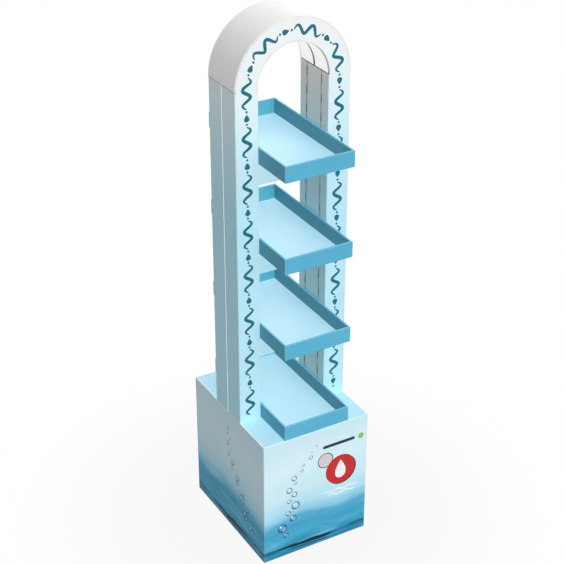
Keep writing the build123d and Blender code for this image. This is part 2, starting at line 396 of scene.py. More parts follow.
@dataclass(frozen=True)
class BoardFinish:
    """Finish of one kind of folded board: its print, bare side, cut edges, folds and flutes.

    Places and sizes within a cut edge are shares of the board's thickness.
    """

    name: str
    sizes: StandSizes
    flute_pitch: float = 7.9 * MM
    flute_sink: float = 0.05
    bare: Colour = ink("8A6C48")
    # Painted shade: the dark colour of the board's inside in the closed legs and the crown, where no
    # light reaches.
    hollow: Colour = ink("352A20")
    liner_edge: Colour = ink("FAFBF9")
    # Painted shade: colour of the open cells in a cut edge, which stand dark as hollows.
    cell_shade: Colour = ink("DEDBD3")
    medium_swing: float = 0.33
    medium_border: Span = (0.05, 0.13)
    liner_border: Span = (0.42, 0.36)
    line_border: Span = (0.3, 0.16)
    line_drift: float = 0.3
    line_breaks: Span = (0.38, 0.55)
    rub: Colour = ink("EDF6FA")
    rub_strength: float = 0.6
    rub_scale: float = 210.0
    rub_breaks: Span = (0.36, 0.62)
    gap_shade: Colour = ink("2C3234")
    tone: float = 0.945
    fibre_run: float = 0.55
    roughness: float = 0.52
    gloss: float = 0.32

    @property
    def flute_turn(self) -> float:
        """Angle that the wave of the flutes runs through in a metre."""
        return FULL_TURN / self.flute_pitch

    def tint(self, shader: Shader) -> Paint:
        """Colour of the printed side."""
        return ink("F2F2F0")

    def printed(self, shader: Shader) -> Number:
        """Mask of the printed side."""
        return 1.0

    def reverse(self, shader: Shader) -> Paint:
        """Colour of the side without print."""
        return self.bare

    def cut(self, shader: Shader) -> Number:
        """Mask of the cut edges that show."""
        return 0.0

    def cells(self, shader: Shader) -> Number:
        """Mask of the open cells between the liners of a cut edge, which are painted in shade."""
        return 0.0

    def folds(self, shader: Shader) -> Number:
        """Mask of the folds, where the print is rubbed."""
        return 0.0

    def gaps(self, shader: Shader) -> Number:
        """Mask of the joints with the boards beside it, where no light gets in."""
        return 0.0

    def across_flutes(self, shader: Shader) -> Sock:
        """Run across the flutes: along the wall on upright boards, and along x on flat ones."""
        x, y, _ = shader.place
        return x + (y - x) * shader.turned(0, 0.6, 0.8)

    def relief(self, shader: Shader) -> Number:
        """Height of anything pressed in the board besides its flutes, in millimetres."""
        return 0.0

    def wave_cells(self, shader: Shader, along: Sock, inward: Sock) -> Sock:
        """Cells of an edge that is cut across the flutes.

        Args:
            shader: The material's tree.
            along: Run along the edge.
            inward: Distance from one face of the board.

        Returns:
            Mask of the open cells, which leaves the liners and the wavy medium between them.
        """
        depth = inward * (1 / self.sizes.board)
        swing = shader.math("SINE", along * self.flute_turn) * self.medium_swing + 0.5
        medium = shader.step(abs(depth - swing), *self.medium_border)
        liners = shader.step(abs(depth - 0.5), *self.liner_border)
        return medium * liners

    def line_cells(self, shader: Shader, along: Sock, inward: Sock) -> Sock:
        """Cells of an edge that is cut along the flutes: one uneven line between the liners.

        Args:
            shader: The material's tree.
            along: Run along the edge.
            inward: Distance from one face of the board.

        Returns:
            Mask of the open cells, broken where the edge is crushed.
        """
        depth = inward * (1 / self.sizes.board)
        drift = shader.noise(shader.vector(along, 0.0, 0.0), 38.0) - 0.5
        crush = shader.noise(shader.vector(along, 3.0, 0.0), 23.0)
        is_open = shader.step(crush, *self.line_breaks)
        return shader.step(abs(depth - 0.5 + drift * self.line_drift), *self.line_border) * is_open

    def material(self) -> bpy.types.Material:
        """Build the material.

        Returns:
            A procedural material that reads only the place on the stand.
        """
        made = bpy.data.materials.new(self.name)
        made.use_nodes = True
        shader = Shader(made.node_tree)
        x, y, z = shader.place
        drawn = shader.vector(x * self.fibre_run, y * self.fibre_run, z)
        fibre = shader.noise(drawn, FIBRE.scale, FIBRE.detail)
        mottle = shader.cloud(MOTTLE.scale, MOTTLE.detail)

        colour = shader.blend(self.printed(shader), self.reverse(shader), self.tint(shader))
        edge = self.cut(shader)
        colour = shader.blend(edge, colour, self.liner_edge)
        # Painted shade in the open cells of the cut edges.
        colour = shader.blend(edge * self.cells(shader), colour, self.cell_shade)
        broken = shader.step(shader.cloud(self.rub_scale, detail=4.0), *self.rub_breaks)
        colour = shader.blend(self.folds(shader) * broken * self.rub_strength, colour, self.rub)
        # Painted shade in the joints with the boards beside it, where no light gets in.
        colour = shader.blend(self.gaps(shader), colour, self.gap_shade)
        tone = self.tone + fibre * FIBRE.tone + mottle * MOTTLE.tone
        colour = shader.blend(1.0, colour, shader.vector(tone, tone, tone), "MULTIPLY")

        flutes = shader.math("COSINE", self.across_flutes(shader) * self.flute_turn)
        paper = fibre * FIBRE.height + mottle * MOTTLE.height
        height = flutes * (0.5 * self.flute_sink) + paper + self.relief(shader)
        normal = shader.node(
            "ShaderNodeBump", inputs={"Strength": 1.0, "Distance": MM, "Height": height}
        )
        smooth = self.roughness - MOTTLE.roughness
        roughness = smooth + fibre * FIBRE.roughness + mottle * MOTTLE.roughness
        surface = shader.node(
            "ShaderNodeBsdfPrincipled",
            inputs={
                "Base Color": colour,
                "Roughness": roughness,
                "Specular IOR Level": self.gloss,
                "Normal": normal,
            },
        )
        shader.node("ShaderNodeOutputMaterial", inputs={"Surface": surface})
        return made


# Colours of the base print, by the share of its height: deep water, shallows, haze and sky.
WATER_TO_SKY = (
    (0.00, ink("2A82A6")),
    (0.06, ink("3298BC")),
    (0.12, ink("4CADD1")),
    (0.21, ink("46A4C9")),
    (0.27, ink("56ACCF")),
    (0.32, ink("8ECEE8")),
    (0.385, ink("B3E2F4")),
    (0.50, ink("CBEDF8")),
    (0.72, ink("D8F3FB")),
    (1.00, ink("CDECF6")),
)


@dataclass(frozen=True)
class BasePrint(BoardFinish):
    """Print of the box at the foot: a pale sky over water that deepens towards the floor.

    Levels are shares of the box's height. The trough is the dark furrow near the floor, and its
    turn is the angle that its wave runs through in a metre of the way round the walls.
    """

    gloss: float = 0.16
    top_print: Colour = ink("BAE6F5")
    swell: float = 110 * MM
    haze: float = 35 * MM
    slope: float = 0.05
    ripple_levels: Span = (0.42, 0.12)
    ripple_strength: float = 0.5
    crest_noise: Span = (0.52, 0.75)
    crest_ink: Colour = ink("86CCE6")
    hollow_noise: Span = (0.47, 0.27)
    hollow_ink: Colour = ink("2C8EB4")
    trough_height: float = 28 * MM
    trough_lean: float = 0.8
    trough_start: float = 0.42
    trough_turn: float = 17.0
    trough_swing: float = 3 * MM
    trough_fray: float = 24 * MM
    furrow_border: Span = (9 * MM, 2 * MM)
    furrow_strength: float = 0.95
    furrow_ink: Colour = ink("0C6688")
    dark_swell: float = 7 * MM
    dark_border: Span = (2 * MM, -2 * MM)
    under_drop: float = 13 * MM
    under_swell: float = 4 * MM
    under_border: Span = (0.0, -3 * MM)
    under_strength: float = 0.7
    trough_ink: Colour = ink("04202F")
    panel_margin: Span = (4.6 * MM, 3.8 * MM)
    # Where the painted shade in the joint under the top panel starts and is full.
    joint_border: Span = (1.4 * MM, 1.0 * MM)
    fold_width: float = 2.6 * MM
    foot_rub: float = 0.3
    wet_rub: float = 0.3
    dry_levels: Span = (0.1, 0.4)

    def tint(self, shader: Shader) -> Paint:
        """Sky and water on the walls, and one pale blue on the top.

        Args:
            shader: The material's tree.

        Returns:
            Colour of the print.
        """
        x, _, z = shader.place
        swell = shader.cloud(3.6, detail=1.0, squash=0.6) - 0.5
        haze = shader.cloud(9.0, detail=3.0, squash=5.0) - 0.5
        lean = (x + self.sizes.half_width) * self.slope
        level = (z + swell * self.swell + haze * self.haze - lean) / self.sizes.base_top
        colour = self._ripples(shader, shader.ramp(level, WATER_TO_SKY), level)
        colour = self._troughs(shader, colour)
        return shader.blend(shader.step(shader.facing[2], 0.7, 0.95), colour, self.top_print)

    def _ripples(self, shader: Shader, colour: Paint, level: Sock) -> Sock:
        """Lighter crests and darker hollows, drawn out along the walls in the water.

        Args:
            shader: The material's tree.
            colour: The print so far.
            level: Height as a share of the base, swollen like the waterline.

        Returns:
            The print with its ripples.
        """
        depth = shader.step(level, *self.ripple_levels) * self.ripple_strength
        ripple = shader.cloud(7.0, detail=2.0, squash=6.0, warp=0.4)
        crest = shader.step(ripple, *self.crest_noise) * depth
        colour = shader.blend(crest, colour, self.crest_ink)
        hollow = shader.step(ripple, *self.hollow_noise) * depth
        return shader.blend(hollow, colour, self.hollow_ink)

    def _troughs(self, shader: Shader, colour: Paint) -> Sock:
        """A furrow round the walls, near black in the middle of each, and a fine line under it.

        Args:
            shader: The material's tree.
            colour: The print so far.

        Returns:
            The print with its furrow and lines.
        """
        x, y, z = shader.place
        round_walls = x + y * self.trough_lean + self.trough_start
        ripple = shader.math("SINE", round_walls * self.trough_turn) * self.trough_swing
        line = z - self.trough_height - ripple
        fray = (shader.cloud(13.0, detail=1.5, squash=5.0) - 0.5) * self.trough_fray
        furrow = shader.step(abs(line) - fray, *self.furrow_border)
        colour = shader.blend(furrow * self.furrow_strength, colour, self.furrow_ink)
        slow_wave = shader.math("SINE", round_walls * (0.5 * self.trough_turn))
        wedge = shader.step(abs(slow_wave), 0.5, 1.0)
        dark = shader.step(abs(line) - fray - wedge * self.dark_swell, *self.dark_border)
        dark = dark * shader.step(wedge, 0.0, 0.3)
        lower = abs(line + self.under_drop) - wedge * self.under_swell - fray * 0.3
        under = shader.step(lower, *self.under_border) * self.under_strength
        return shader.blend(shader.either(dark, under), colour, self.trough_ink)

    def printed(self, shader: Shader) -> Number:
        """The outer face of every wall, and of the top.

        Args:
            shader: The material's tree.

        Returns:
            Mask of those faces.
        """
        return shader.either(
            shader.outer_face(0, self.sizes.half_width),
            shader.outer_face(1, self.sizes.half_depth),
            shader.outer_face(2, self.sizes.base_top, 1),
        )

    def cut(self, shader: Shader) -> Number:
        """The side edges of the top panel, and the upper edge of the rear wall.

        Args:
            shader: The material's tree.

        Returns:
            Mask of those edges.
        """
        x, y, z = shader.place
        board = self.sizes.board
        panel_side = self.sizes.base_top - board
        on_top = shader.step(shader.facing[2], 0.85, 0.95)
        side = shader.turned(0) * shader.step(z, panel_side - BLUR, panel_side + 0.1 * MM)
        margin = on_top * shader.step(self.sizes.half_width - abs(x), *self.panel_margin)
        rear_inside = self.sizes.half_depth - board
        rear = on_top * shader.step(y, rear_inside - BLUR, rear_inside)
        return shader.either(side * shader.outer_face(0, self.sizes.half_width), margin, rear)

    def gaps(self, shader: Shader) -> Number:
        """Painted shade in the joint between the top panel and the side walls that carry it.

        Args:
            shader: The material's tree.

        Returns:
            Mask of the joint.
        """
        level = self.sizes.base_top - self.sizes.board
        joint = shader.step(abs(shader.place[2] - level), *self.joint_border)
        return shader.turned(2, 0.5, 0.8) * joint

    def cells(self, shader: Shader) -> Number:
        """A line in the panel's side edges, and waves in the rear wall's upper edge.

        Args:
            shader: The material's tree.

        Returns:
            Mask of the open cells.
        """
        x, y, z = shader.place
        on_top = shader.step(shader.facing[2], 0.5, 0.8)
        line = self.line_cells(shader, y, self.sizes.base_top - z) * (1 - on_top) * 0.5
        rear = shader.step(y, self.sizes.half_depth - 2 * self.sizes.board, self.sizes.half_depth)
        return line + self.wave_cells(shader, x, self.sizes.half_depth - y) * on_top * rear

    def folds(self, shader: Shader) -> Number:
        """The four upright folds, and the fold that the top panel hangs on.

        Args:
            shader: The material's tree.

        Returns:
            Mask of the folds, weaker over the dark water.
        """
        x, y, z = shader.place
        to_side = self.sizes.half_width - abs(x)
        to_end = self.sizes.half_depth - abs(y)
        upright = shader.near_edge(to_side, to_end, self.fold_width)
        to_front, to_top = self.sizes.half_depth + y, self.sizes.base_top - z
        hinge = shader.near_edge(to_front, to_top, self.fold_width)
        foot = shader.step(z, 4 * MM, 0.0) * self.foot_rub
        dry = shader.step(z / self.sizes.base_top, *self.dry_levels)
        strength = dry * (1 - self.wet_rub) + self.wet_rub
        return shader.either(shader.either(upright, hinge) * strength, foot)


# Colours of the arch print, by the share of its height. The spring line is at SPRING_SHARE.
BLUE_TO_WHITE = (
    (0.00, ink("C0EBF8")),
    (0.50, ink("C1EBF8")),
    (0.60, ink("C9EEF9")),
    (0.68, ink("D4F3FB")),
    (0.76, ink("E4F7FC")),
    (0.84, ink("F1F9FB")),
    (0.95, ink("F7F8F7")),
)
SPRING_SHARE = 0.8


class ArchPrint(BoardFinish):
    """Print of the arch: pale blue at the foot of the legs, fading to white in the crown."""

    drift = 120 * MM
    # Painted light: tones that the print is multiplied by on the side faces, at the foot and at the
    # spring line, to even out how light and its blue bounce fall there, and the shares of the legs'
    # height between which the first goes over to the second.
    outer_light_tones = (ink("F1F9FC"), ink("FFFFFF"))
    inner_light_tones = (ink("FFECE2"), ink("F1DAD2"))
    tone_rise = (0.6, 0.95)
    # Where the painted shade in the seams starts and is full, and how strong it is; then the same for
    # the joint under the crown.
    seam_border = (2.2 * MM, 1.2 * MM)
    seam_strength = 0.75
    crown_joint = (1.8 * MM, 0.8 * MM)
    outer_fold = 2.4 * MM
    inner_fold = 2.0 * MM
    inner_rub = 0.6

    def tint(self, shader: Shader) -> Paint:
        """Pale blue that fades with height, with painted light on the sides of the legs to even out
        their shading.

        Args:
            shader: The material's tree.

        Returns:
            Colour of the print.
        """
        z = shader.place[2] + (shader.cloud(2.4, detail=1.0) - 0.5) * self.drift
        rise = (z - self.sizes.base_top) / (self.sizes.spring - self.sizes.base_top)
        colour = shader.ramp(rise * SPRING_SHARE, BLUE_TO_WHITE)
        high = shader.step(rise, *self.tone_rise)
        sides = (
            (self.sizes.half_width, self.outer_light_tones),
            (self.sizes.opening_radius, self.inner_light_tones),
        )
        for reach, tones in sides:
            shade = shader.blend(high, *tones)
            colour = shader.blend(shader.outer_face(0, reach), colour, shade, "MULTIPLY")
        return colour

    def reverse(self, shader: Shader) -> Paint:
        """Brown on the back of the straps, and painted dark shade in the closed legs.

        Args:
            shader: The material's tree.

        Returns:
            Colour of the reverse.
        """
        in_leg = shader.step(
            abs(shader.place[0]), self.sizes.opening_radius - MM, self.sizes.opening_radius
        )
        return shader.blend(in_leg, self.bare, self.hollow)

    def cut(self, shader: Shader) -> Number:
        """The upper and lower edges of the straps.

        Args:
            shader: The material's tree.

        Returns:
            Mask of those edges.
        """
        in_opening = shader.step(
            abs(shader.place[0]), self.sizes.opening_radius, self.sizes.opening_radius - MM
        )
        return in_opening * shader.turned(2)

    def cells(self, shader: Shader) -> Number:
        """Waves of the upright flutes."""
        x, y, _ = shader.place
        return self.wave_cells(shader, x, self.sizes.arch_half_depth - abs(y))

    def gaps(self, shader: Shader) -> Number:
        """Painted shade in the two seams between the channels and the post, and in the joint under the
        crown.

        Args:
            shader: The material's tree.

        Returns:
            Mask of the painted shade in the seams and the joint.
        """
        _, y, z = shader.place
        seam = shader.step(abs(abs(y) - self.sizes.post_half), *self.seam_border)
        top = shader.step(self.sizes.spring - z, *self.crown_joint)
        joints = shader.either(seam * self.seam_strength, top)
        return joints * shader.outer_face(0, self.sizes.opening_radius)

    def printed(self, shader: Shader) -> Number:
        """The outer face of the channels and of the crown.

        Args:
            shader: The material's tree.

        Returns:
            Mask of those faces.
        """
        return shader.either(
            shader.outer_face(0, self.sizes.half_width),
            shader.outer_face(0, self.sizes.opening_radius),
            shader.outer_face(1, self.sizes.arch_half_depth),
        )

    def folds(self, shader: Shader) -> Number:
        """The upright folds of the legs, up to the spring line.

        Args:
            shader: The material's tree.

        Returns:
            Mask of the folds.
        """
        x, y, z = shader.place
        to_face = self.sizes.arch_half_depth - abs(y)
        outer = shader.near_edge(self.sizes.half_width - abs(x), to_face, self.outer_fold)
        inner = shader.near_edge(abs(x) - self.sizes.opening_radius, to_face, self.inner_fold)
        on_leg = shader.step(z, self.sizes.spring + MM, self.sizes.spring - MM)
        return shader.either(outer, inner * self.inner_rub) * on_leg


class PostPrint(ArchPrint):
    """Print of the posts, which goes on from the arch beside them."""

    def printed(self, shader: Shader) -> Number:
        """The face that looks into the opening."""
        return shader.outer_face(0, self.sizes.opening_radius)

    def folds(self, shader: Shader) -> Number:
        """No rub: the folds lie in the seams."""
        return 0.0


@dataclass(frozen=True)
class CrownBoard(BoardFinish):
    """White-lined board bent round the crown, with score lines pressed in to help it bend."""

    score_pitch: float = 13 * MM
    score_border: Span = (0.2 * MM, 1.4 * MM)
    score_depth: float = 0.12
    # Painted shade along the front and rear edges and beside the middle gap: where it starts and is
    # full, and how strong it is.
    edge_rim: Span = (3.4 * MM, 1.6 * MM)
    gap_rim: Span = (5.4 * MM, 4.0 * MM)
    rim_shade: float = 0.0
    # Painted shade: where it starts and is full beside the middle gap, and along the joint on one side
    # only, and how strong it is there.
    middle_gap: Span = (12 * MM, 10 * MM)
    one_side_shadow: Span = (-50 * MM, -105 * MM)
    one_side_shadow_strength: float = 0.65
    cell_strength: float = 0.5
    white: Colour = ink("F0F0EF")
    rim_shade_ink: Colour = ink("3A3530")
    gloss: float = 0.16
    roughness: float = 0.62

    def tint(self, shader: Shader) -> Paint:
        """White, with a painted shade along the front and rear edges and the middle gap where it is
        asked for.

        Args:
            shader: The material's tree.

        Returns:
            Colour of the white side.
        """
        _, y, _ = shader.place
        to_edge = self.sizes.arch_half_depth - abs(y)
        near_gap = shader.step(abs(y), *self.gap_rim)
        rim = shader.either(shader.step(to_edge, *self.edge_rim), near_gap)
        return shader.blend(rim * self.rim_shade, self.white, self.rim_shade_ink)

    def _polar(self, shader: Shader) -> tuple[Sock, Sock]:
        """Distance from the axis that the crown is bent about, and angle round it.

        Args:
            shader: The material's tree.

        Returns:
            The distance in metres and the angle in radians.
        """
        x, _, z = shader.place
        height = z - self.sizes.spring
        reach = shader.math("SQRT", x * x + height * height)
        return reach, shader.math("ARCTAN2", height, x)

    def cut(self, shader: Shader) -> Number:
        """The edges that show at the front and at the rear."""
        return shader.turned(1)

    def gaps(self, shader: Shader) -> Number:
        """Painted shade on the edges along the middle gap of the soffit, and a painted shadow along its
        joint on one side.

        Args:
            shader: The material's tree.

        Returns:
            Mask of the painted shade.
        """
        x, y, _ = shader.place
        middle = shader.step(abs(y), *self.middle_gap)
        open_side = shader.step(x * shader.math("SIGN", y), *self.one_side_shadow)
        joints = shader.either(middle, open_side * self.rim_shade * self.one_side_shadow_strength)
        return shader.turned(1, 0.3, 0.6) * joints

    def cells(self, shader: Shader) -> Number:
        """Waves of the flutes, which run across the bend.

        Args:
            shader: The material's tree.

        Returns:
            Mask of the open cells.
        """
        reach, angle = self._polar(shader)
        middle = self.sizes.leg_centre
        outer = self.sizes.half_width - reach
        inner = reach - self.sizes.opening_radius
        is_outer = shader.step(reach, middle - MM, middle + MM)
        inward = inner + (outer - inner) * is_outer
        return self.wave_cells(shader, angle * reach, inward) * self.cell_strength

    def across_flutes(self, shader: Shader) -> Sock:
        """Run along the bend."""
        reach, angle = self._polar(shader)
        return reach * angle

    def relief(self, shader: Shader) -> Number:
        """Score lines across the strip.

        Args:
            shader: The material's tree.

        Returns:
            Their height in millimetres.
        """
        reach, angle = self._polar(shader)
        from_line = abs((reach * angle) % self.score_pitch - 0.5 * self.score_pitch)
        return shader.step(from_line, *self.score_border) * self.score_depth


class RibBoard(BoardFinish):
    """Brown board of the rib, white only on the edges that show down the outer leg faces."""

    def reverse(self, shader: Shader) -> Paint:
        """Painted dark shade, as it stands in the closed legs and in the crown."""
        return self.hollow

    def printed(self, shader: Shader) -> Number:
        """The outer edges of the legs."""
        return shader.outer_face(0, self.sizes.half_width)

    def tint(self, shader: Shader) -> Paint:
        """The white edge of the liner, folded over the cut."""
        return ink("E8FCFF")


class KraftBoard(BoardFinish):
    """Plain brown board, out of sight."""

    def printed(self, shader: Shader) -> Number:
        """Nowhere printed."""
        return 0.0


class TrayPrint(BoardFinish):
    """Teal print of the trays, rubbed lighter along the rolled rims."""

    teals = (ink("55AFD0"), ink("5CB5D4"))
    # Painted light: tones that the print is multiplied by on three kinds of wall face,
    # to even out how light and its blue bounce fall on them.
    outer_side_light_tone = ink("DFE2DE")
    inner_side_light_tone = ink("EAD4CA")
    inner_end_light_tone = ink("FFF6E8")
    # Parts of the normal between which a wall counts as one that faces out, or in.
    facing_out = (0.5, 0.9)
    facing_in = (-0.5, -0.9)
    rim_width = 2.2 * MM
    rim_fade = 0.4 * MM
    rim_rub = 0.25
    corner_width = 2.2 * MM
    corner_rub = 0.5

    def tint(self, shader: Shader) -> Paint:
        """Teal with a slow drift in strength, and painted light on the walls, deeper on the side walls.

        Args:
            shader: The material's tree.

        Returns:
            Colour of the print.
        """
        x, y, _ = shader.place
        outward = shader.facing[0] * shader.math("SIGN", x)
        endward = shader.facing[1] * shader.math("SIGN", y)
        masks = (
            (shader.step(outward, *self.facing_out), self.outer_side_light_tone),
            (shader.step(outward, *self.facing_in), self.inner_side_light_tone),
            (shader.step(endward, *self.facing_in), self.inner_end_light_tone),
        )
        colour = shader.blend(shader.step(shader.cloud(4.0, detail=2.0), *DRIFT), *self.teals)
        for mask, tone in masks:
            colour = shader.blend(mask, colour, tone, "MULTIPLY")
        return colour

    def across_flutes(self, shader: Shader) -> Sock:
        """Flutes run across the tray, and so along its end walls."""
        _, y, z = shader.place
        return y + (z - y) * shader.turned(1, 0.6, 0.8)

    def folds(self, shader: Shader) -> Number:
        """The rims and the upright corners.

        Args:
            shader: The material's tree.

        Returns:
            Mask of the rims and corners.
        """
        x, y, z = shader.place
        height = (z - self.sizes.base_top + MM) % self.sizes.tray_pitch - MM
        lip = self.sizes.lip_height
        rim = shader.step(height, lip - self.rim_width, lip - self.rim_fade)
        to_side = self.sizes.opening_radius - abs(x)
        corner = shader.near_edge(to_side, self.sizes.half_depth - abs(y), self.corner_width)
        return shader.either(rim * self.rim_rub, corner * self.corner_rub)


class TrayLiner(BoardFinish):
    """Pale blue panel on the floor of each tray."""

    blues = (ink("C3ECFA"), ink("C7EEFC"))
    # Painted shade on the floor of the open top tray, which takes the most light.
    top_tray_shade = ink("F2F7FB")

    def tint(self, shader: Shader) -> Paint:
        """Pale blue with a slow drift in strength, and painted shade on the brightly lit top tray.

        Args:
            shader: The material's tree.

        Returns:
            Colour of the print.
        """
        colour = shader.blend(shader.step(shader.cloud(3.0, detail=2.0), *DRIFT), *self.blues)
        below_spring = self.sizes.spring - shader.place[2]
        pitch = self.sizes.tray_pitch
        top = shader.step(below_spring, pitch, pitch - 20 * MM)
        return shader.blend(top, colour, self.top_tray_shade, "MULTIPLY")

    def across_flutes(self, shader: Shader) -> Sock:
        """Flutes run across the tray."""
        return shader.place[1]


@dataclass(frozen=True)
class InkFinish(BoardFinish):
    """One printed ink, on the same flutes and fibre as the board under it."""

    colour: Colour = ink("FFFFFF")

    def tint(self, shader: Shader) -> Paint:
        """The ink's own colour."""
        return self.colour


@dataclass(frozen=True)
class BubbleInk(BasePrint):
    """Bubbles on the base print: a dark rim, a highlight at the upper left and an arc opposite.

    Places and sizes are shares of the bubble's radius.
    """

    rim: Colour = ink("0D4558")
    rim_inside: Span = (0.5, 0.8)
    rim_outside: Span = (1.0, 0.95)
    rim_fall: Span = (0.9, -0.7)
    rim_lean: float = 0.5
    rim_faintest: float = 0.55
    shine: Colour = ink("F6FDFF")
    shine_at: Point = (-0.34, 0.38)
    shine_border: Span = (0.34, 0.12)
    arc_reach: float = 0.66
    arc_border: Span = (0.16, 0.05)
    arc_ends: Span = (0.5, 0.95)
    arc_strength: float = 0.8

    def tint(self, shader: Shader) -> Paint:
        """The print under the bubble, darkened and lit by the place within its disc.

        Args:
            shader: The material's tree.

        Returns:
            Colour of the bubble and of the print round it.
        """
        under = super().tint(shader)
        u, v = shader.uv()
        reach = shader.math("SQRT", u * u + v * v)
        ring = shader.step(reach, *self.rim_inside) * shader.step(reach, *self.rim_outside)
        low = shader.step(v - u * self.rim_lean, *self.rim_fall)
        strength = low * (1 - self.rim_faintest) + self.rim_faintest
        colour = shader.blend(ring * strength, under, self.rim)
        spot_u, spot_v = self.shine_at
        spot = shader.math("SQRT", (u - spot_u) ** 2.0 + (v - spot_v) ** 2.0)
        colour = shader.blend(shader.step(spot, *self.shine_border), colour, self.shine)
        band = shader.step(abs(reach - self.arc_reach), *self.arc_border)
        arc = band * shader.step(u - v, *self.arc_ends)
        return shader.blend(arc * self.arc_strength, colour, self.shine)


Lay = Callable[[float, float, float], Vector]


@dataclass(frozen=True)
class FlatFace:
    """An upright face of the stand, on which ink is laid."""

    centre: Vector
    across: Vector
    outward: Vector

    def __call__(self, u: float, v: float, w: float) -> Vector:
        """Place of a point u along the face, v above the floor and w proud of it."""
        return self.centre + self.across * u + Vector((0, 0, v)) + self.outward * w


@dataclass(frozen=True)
class ArchLine:
    """The middle line of the arch: up one leg, round the crown and down the other."""

    sizes: StandSizes
    front: bool = True

    @property
    def leg(self) -> float:
        """Length of the line on one leg."""
        return self.sizes.spring - self.sizes.base_top

    @property
    def length(self) -> float:
        """Whole length of the line."""
        return 2 * self.leg + math.pi * self.sizes.leg_centre

    def __call__(self, u: float, v: float, w: float) -> Vector:
        """Place of a point u along the line, v outward from it and w proud of the face.

        Args:
            u: Run along the line, from the foot of the first leg.
            v: Distance outward from the line.
            w: Distance proud of the face.

        Returns:
            The place on the stand.
        """
        radius = self.sizes.leg_centre
        if u < self.leg:
            x, z = -radius - v, self.sizes.base_top + u
        elif u > self.length - self.leg:
            x, z = radius + v, self.sizes.base_top + self.length - u
        else:
            angle = (u - self.leg) / radius
            x = -(radius + v) * math.cos(angle)
            z = self.sizes.spring + (radius + v) * math.sin(angle)
        depth = self.sizes.arch_half_depth + w
        return Vector((x, -depth, z)) if self.front else Vector((-x, depth, z))


